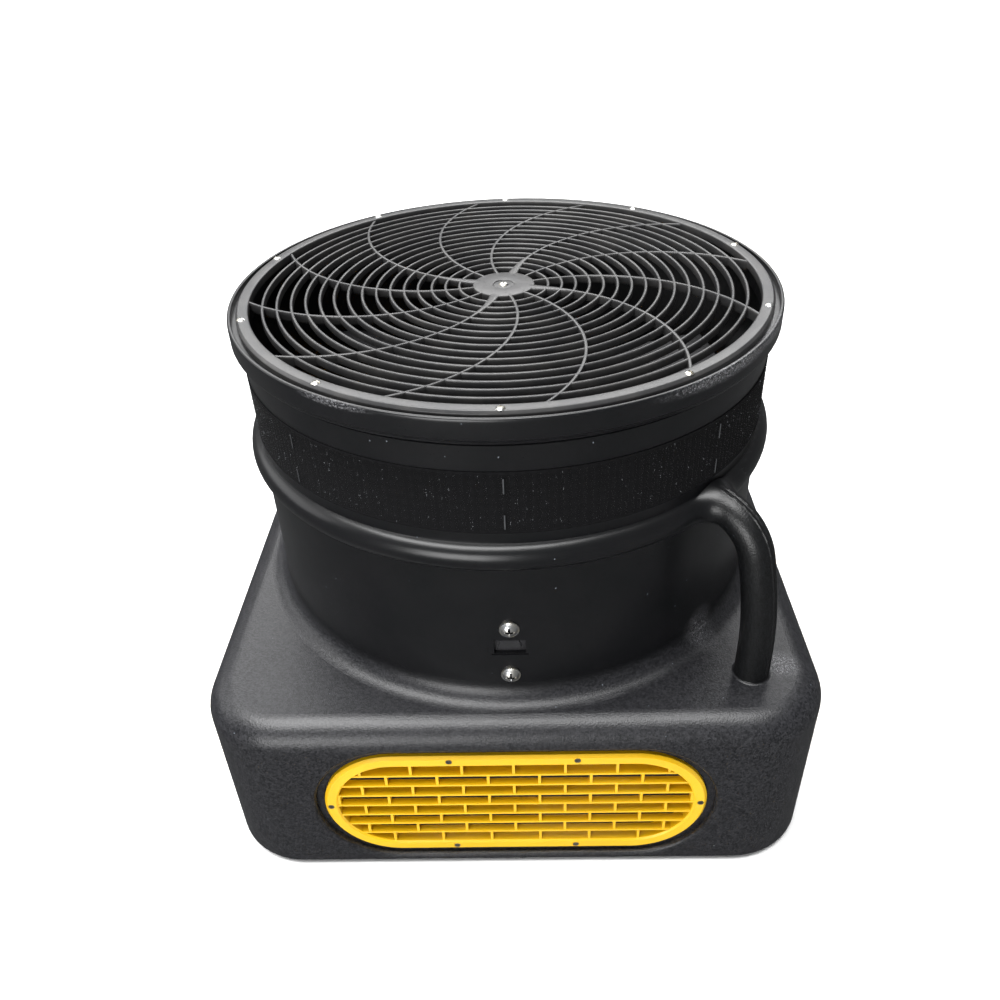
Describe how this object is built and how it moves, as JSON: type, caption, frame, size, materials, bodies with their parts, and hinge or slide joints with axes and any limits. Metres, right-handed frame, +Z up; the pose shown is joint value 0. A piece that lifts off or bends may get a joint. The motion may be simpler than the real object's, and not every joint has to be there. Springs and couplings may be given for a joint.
{
  "type": "axial blower",
  "caption": "Floor-standing axial blower with a square hollow base, slatted intake grilles, a round duct neck with a hook-tape collar and a spiral outlet guard.",
  "frame": {"origin": "on the floor under the middle of the square base", "axes": "+Z up along the duct and the fan's axis, +X to the right and +Y to the rear as seen from the front grille"},
  "size_m": [0.546, 0.546, 0.4636],
  "materials": {
    "moulded_black": "fine leather-grain moulded polyethylene",
    "plate_black": "plain moulded sheet",
    "guard_black": "satin moulded nylon",
    "foot_rubber": "moulded rubber",
    "grille_yellow": "glossy injection moulding",
    "hook_tape": "woven hook pile",
    "staple_wire": "bright wire",
    "zinc_screw": "bright zinc plate",
    "grille_screw_steel": "dark zinc plate",
    "bracket_paint": "black powder coat",
    "motor_paint": "satin enamel",
    "cast_aluminium": "as cast",
    "lamination_steel": "stacked laminations",
    "winding_copper": "varnished copper wire",
    "bright_steel": "ground steel",
    "fan_nylon": "glass-filled nylon",
    "box_black": "fine spark texture",
    "switch_black": "gloss moulding",
    "rocker_red": "gloss moulding",
    "capacitor_can": "drawn can",
    "gland_nylon": "satin nylon",
    "lead_rubber": "rubber sheath"
  },
  "bodies": {
    "housing": {"housing_shell": "moulded_black", "base_plate": "plate_black", "outlet_guard": "guard_black", "foot_front_left": "foot_rubber", "foot_front_right": "foot_rubber", "foot_rear_left": "foot_rubber", "foot_rear_right": "foot_rubber", "intake_grille_front": "grille_yellow", "intake_grille_right": "grille_yellow", "intake_grille_rear": "grille_yellow", "intake_grille_left": "grille_yellow", "hook_tape": "hook_tape", "tape_staples": "staple_wire", "base_plate_screws": "zinc_screw", "foot_screws": "zinc_screw", "guard_screws": "zinc_screw", "guard_hub_screw": "zinc_screw", "guard_hub_nut": "zinc_screw", "bracket_screws": "zinc_screw", "bracket_washers": "zinc_screw", "bracket_nuts": "zinc_screw", "motor_mount_screws": "zinc_screw", "motor_tie_bolts": "zinc_screw", "switch_lid_screws": "zinc_screw", "grille_screws": "grille_screw_steel", "motor_bracket": "bracket_paint", "motor_can": "motor_paint", "motor_end_bell_upper": "cast_aluminium", "motor_end_bell_lower": "cast_aluminium", "stator_core": "lamination_steel", "stator_windings": "winding_copper", "bearing_upper": "bright_steel", "bearing_lower": "bright_steel", "switch_box": "box_black", "switch_box_lid": "box_black", "switch_body": "switch_black", "run_capacitor": "capacitor_can", "cable_gland": "gland_nylon", "gland_locknut": "gland_nylon", "motor_lead": "lead_rubber", "lead_grommet": "lead_rubber"},
    "rotor": {"motor_shaft": "bright_steel", "rotor_core": "lamination_steel", "shaft_key": "bright_steel", "fan_hub": "fan_nylon", "fan_blades": "fan_nylon", "fan_washer": "zinc_screw", "fan_nut": "zinc_screw"},
    "rocker": {"switch_rocker": "rocker_red"}
  },
  "joints": [
    {"name": "fan_spin", "type": "hinge", "parent": "housing", "child": "rotor", "pos_m": [0, 0, 0.2359], "axis": [0, 0, 1], "continuous": true},
    {"name": "rocker_tilt", "type": "hinge", "parent": "housing", "child": "rocker", "pos_m": [0.20435, 0.20435, 0.266], "axis": [-0.7071, 0.7071, 0], "range_deg": [-18, 0]}
  ]
}
